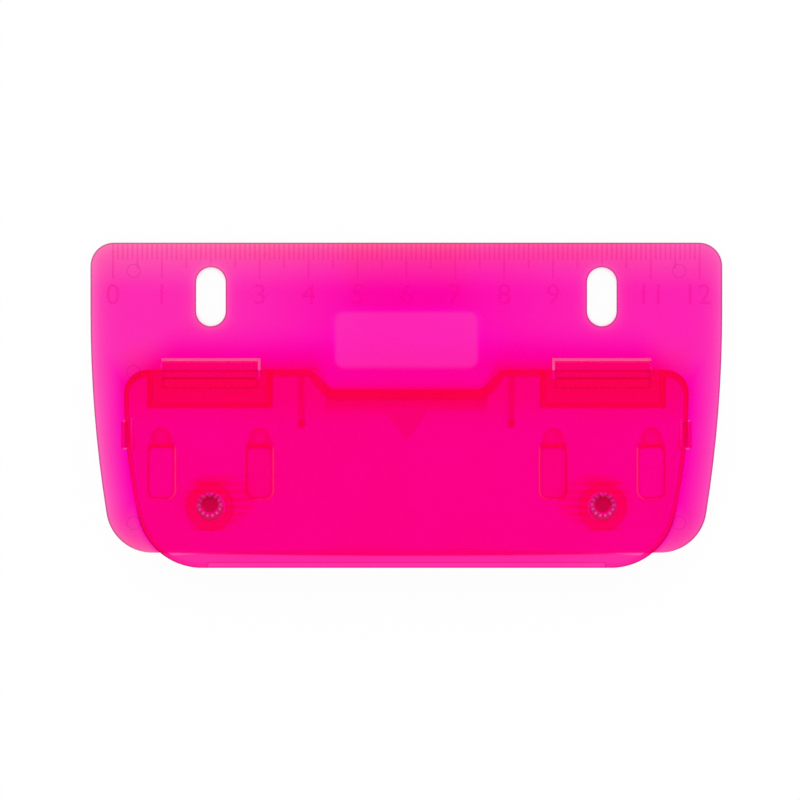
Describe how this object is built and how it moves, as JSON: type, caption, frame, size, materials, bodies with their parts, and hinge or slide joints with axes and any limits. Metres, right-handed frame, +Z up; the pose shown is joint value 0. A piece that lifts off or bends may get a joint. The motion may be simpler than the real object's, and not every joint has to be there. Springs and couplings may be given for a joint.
{
  "type": "hole punch",
  "caption": "Flat translucent plastic hole punch that clips into a ring binder, with a ruler edge and a hinged lever that presses steel tube cutters through the paper.",
  "frame": {"origin": "middle of the object's outline, on the underside of the base", "axes": "+X along the ruler in the direction in which its numbers rise, +Y towards the ruler edge, +Z up out of the base"},
  "size_m": [0.1292, 0.0663, 0.0093],
  "materials": {
    "base_plastic": "translucent pink moulded plastic with a fine satin grain",
    "lever_plastic": "translucent pink moulded plastic with a fine satin grain",
    "cutter_steel": "bright drawn steel tube"
  },
  "bodies": {
    "base": {"base": "base_plastic"},
    "lever": {"lever": "lever_plastic", "left_cutter": "cutter_steel", "right_cutter": "cutter_steel"},
    "left_finger": {"left_spring_finger": "lever_plastic"},
    "right_finger": {"right_spring_finger": "lever_plastic"}
  },
  "joints": [
    {"name": "lever_hinge", "type": "hinge", "parent": "base", "child": "lever", "pos_m": [0, 0.00617, 0.0045], "axis": [1, 0, 0], "range_deg": [0, 5.5], "stiffness_Nm_per_rad": 0.3, "springref_deg": -5.73},
    {"name": "left_finger_flex", "type": "hinge", "parent": "lever", "child": "left_finger", "pos_m": [-0.0214, 0.005, 0.0052], "axis": [1, 0, 0], "range_deg": [-5.5, 0]},
    {"name": "right_finger_flex", "type": "hinge", "parent": "lever", "child": "right_finger", "pos_m": [0.0214, 0.005, 0.0052], "axis": [1, 0, 0], "range_deg": [-5.5, 0]}
  ],
  "couplings": [
    {"joint": "left_finger_flex", "follows": "lever_hinge", "ratio": -1},
    {"joint": "right_finger_flex", "follows": "lever_hinge", "ratio": -1}
  ]
}
